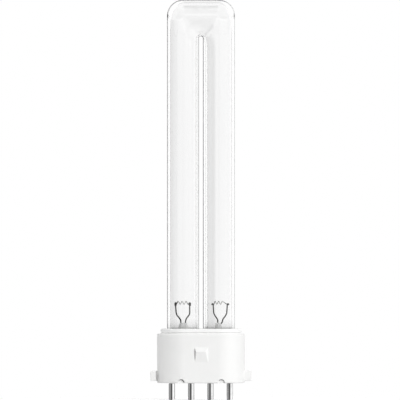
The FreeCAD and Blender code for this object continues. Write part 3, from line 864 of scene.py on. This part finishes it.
def makePin(number, x, g):
    # tip, barrel, neck through the floor, flange, and the bore down the middle
    profile = softCorners(
        [(0.05, g["tipZ"]), (g["r"], g["tipZ"]), (g["r"], g["shoulderZ"]), (g["neckR"], g["shoulderZ"]),
         (g["neckR"], g["floorZ"]), (g["flangeR"], g["floorZ"]), (g["flangeR"], g["flangeZ"]),
         (g["boreR"], g["flangeZ"]), (g["boreR"], g["boreZ"]), (0.05, g["boreZ"])],
        [0, g["tip"], 0.06, 0.05, 0.05, 0.1, 0.15, 0.1, 0.2, 0])
    pin = gridMesh("pin" + str(number), spin(profile, x, 56))
    dress(pin, pinNickel, "pin_" + str(number))


for number, x in enumerate(pinX, start=1):
    makePin(number, x, pinSet)
print("pins done")


# Studio: a round pale table, a soft lamp to the right, and surroundings that are white behind the lamp

# the first four by azimuth, which runs from behind (0) over the left (0.25), the camera's side (0.5) and the right
# (0.75) back to behind (1), and "raised" by height, from straight down (0) to straight up (1): the light on dull
# surfaces, what mirrors show, what glass shows after a reflection, and what rays that only passed glass still see
worldSet = {
    "lit": ((0.0, 2.05), (0.24, 2.05), (0.27, 0.24), (0.44, 0.26), (0.49, 0.8), (0.53, 0.75), (0.58, 0.53),
            (0.75, 0.55), (0.99, 0.55), (1.0, 2.05)),
    "mirrored": ((0.0, 0.2), (0.015, 0.05), (0.12, 0.05), (0.222, 0.45), (0.347, 0.37), (0.41, 0.06), (0.475, 0.05),
                 (0.55, 0.85), (0.653, 1.3), (0.778, 0.8), (0.9, 0.95), (1.0, 1.05)),
    "bent": ((0.0, 1.0), (0.05, 1.15), (0.17, 1.15), (0.2, 0.2), (0.37, 0.1), (0.41, 0.3), (0.46, 0.3), (0.5, 0.4),
             (0.53, 0.8), (0.7, 1.0), (0.9, 1.1), (1.0, 1.0)),
    "through": ((0.0, 1.0), (0.006, 1.0), (0.01, 0.96), (0.0175, 0.89), (0.03, 0.82), (0.1, 0.8), (0.14, 1.0),
                (1.0, 1.0)),
    "raised": ((0.35, 1.0), (0.44, 0.92), (0.475, 0.94), (0.49, 1.0), (0.5, 1.0), (0.506, 1.0), (0.511, 1.05),
               (0.5175, 1.09), (0.525, 1.06), (0.5315, 1.0), (0.5375, 0.97), (0.545, 0.95), (0.5575, 0.93),
               (0.57, 0.88), (0.585, 0.82), (0.6, 0.84), (0.615, 0.93), (0.63, 1.0)),
    "cornerRise": (0.0, 0.07), "cornerTurn": (0.0, 0.025),
    "crestRise": (0.02, 0.1), "crestTurn": (0.02, 0.06), "crestTone": 0.03,
    "top": 0.76, "topRise": (0.45, 0.8),
}


def makeWorld(w):
    # what a mirror or a bent ray meets depends on its azimuth, with a dark strip low behind for the bend's crest; all
    # else is one pale tone, and white behind
    world = bpy.data.worlds.new("studio")
    bpy.context.scene.world = world
    world.use_nodes = True
    nodes = Nodes(world.node_tree)
    way = nodes.add("ShaderNodeTexCoord").outputs["Generated"]
    split = nodes.add("ShaderNodeSeparateXYZ", {"Vector": way}).outputs
    turn = nodes.math("ARCTAN2", nodes.math("MULTIPLY", split["X"], -1.0), split["Y"])     # left is positive
    share = nodes.math("FRACT", nodes.math("MULTIPLY", turn, 1 / (2 * math.pi)))
    path = nodes.add("ShaderNodeLightPath").outputs
    rise = nodes.fade(split["Z"], *w["topRise"])
    aside = nodes.math("SUBTRACT", 0.5, nodes.math("ABSOLUTE", nodes.math("SUBTRACT", share, 0.5)))
    crest = nodes.fade(aside, *w["crestTurn"], 1.0, 0.0)
    crest = nodes.math("MULTIPLY", nodes.fade(split["Z"], *w["crestRise"]), crest)
    mirrored = nodes.mix(crest, nodes.ramp(share, w["mirrored"]), w["crestTone"])
    mirrored = nodes.mix(rise, mirrored, w["top"])
    bent = nodes.mix(rise, nodes.ramp(share, w["bent"]), w["top"])
    lit = nodes.mix(rise, nodes.ramp(share, w["lit"]), w["top"])
    sideways = nodes.mix(path["Is Transmission Ray"], mirrored, bent)
    tone = nodes.mix(path["Is Diffuse Ray"], sideways, lit)
    straight = nodes.math("MULTIPLY", nodes.math("SUBTRACT", 1.0, path["Glossy Depth"], clamp=True),
                          path["Is Transmission Ray"])
    sideLoss = nodes.math("SUBTRACT", 1.0, nodes.ramp(share, w["through"]))
    riseLoss = nodes.math("SUBTRACT", 1.0, nodes.ramp(nodes.math("MULTIPLY_ADD", split["Z"], 0.5, 0.5), w["raised"]))
    sideLoss = nodes.math("MULTIPLY", sideLoss, nodes.fade(split["Z"], *w["cornerRise"], 1.0, 0.0))
    riseLoss = nodes.math("MULTIPLY", riseLoss, nodes.fade(aside, *w["cornerTurn"], 1.0, 0.0))
    seen = nodes.math("SUBTRACT", nodes.math("SUBTRACT", 1.0, sideLoss), riseLoss)
    tone = nodes.mix(straight, tone, seen)
    tone = nodes.mix(path["Is Camera Ray"], tone, 1.0)
    back = nodes.add("ShaderNodeBackground", {"Color": tone, "Strength": 1.0})
    nodes.add("ShaderNodeOutputWorld", {"Surface": back.outputs["Background"]})


floorSet = {"r": 75, "z": -6.3, "rings": 24, "around": 96, "tone": (0.72, 0.74), "cloud": (0.02, 3.0),
            "roughness": 0.9, "weave": 0.02, "weaveScale": 2.0, "lift": 0.35}


def makeFloor(f):
    # a disc; to the camera and through glass it is lifted to white, and keeps its shadows; mirrors don't show it
    rings = np.linspace(1, f["r"], f["rings"])
    profile = np.stack([rings, np.full(len(rings), f["z"])], -1)
    floor = gridMesh("floor", spin(profile, 0, f["around"]), lid=False)
    material, nodes, shader = newMaterial("tableTop", Roughness=f["roughness"])
    tone = nodes.mix(nodes.noise(nodes.place(), *f["cloud"]), *f["tone"])
    weave = nodes.noise(nodes.place(), f["weaveScale"])
    feed(nodes, shader, Base_Color=tone, Normal=nodes.bump(weave, f["weave"]))
    path = nodes.add("ShaderNodeLightPath").outputs
    indirect = nodes.math("MAXIMUM", path["Is Glossy Ray"], path["Is Transmission Ray"])
    seen = nodes.math("MAXIMUM", path["Is Camera Ray"], indirect)
    shader.inputs["Emission Color"].default_value = (1, 1, 1, 1)
    feed(nodes, shader, Emission_Strength=nodes.math("MULTIPLY", seen, f["lift"]))
    floor.data.materials.append(material)
    floor.visible_glossy = False


keySet = {"turn": 30, "rise": 28, "distance": 900, "size": 260, "power": 4.1}


def makeKey(k):
    # a square soft lamp that faces the cap, at a distance and turned and raised by two angles
    data = bpy.data.lights.new("key", "AREA")
    data.size, data.energy = k["size"] * mm, k["power"]
    lamp = bpy.data.objects.new("key", data)
    bpy.context.scene.collection.objects.link(lamp)
    turn, rise, far = math.radians(k["turn"]), math.radians(k["rise"]), k["distance"] * mm
    lamp.location = (far * math.sin(turn) * math.cos(rise), -far * math.cos(turn) * math.cos(rise),
                     far * math.sin(rise))
    lamp.rotation_euler = (math.pi / 2 - rise, 0, turn)
    lamp.visible_glossy = lamp.visible_transmission = False


makeWorld(worldSet)
makeFloor(floorSet)
makeKey(keySet)
bpy.context.scene.view_settings.view_transform = "Standard"
print("studio done")
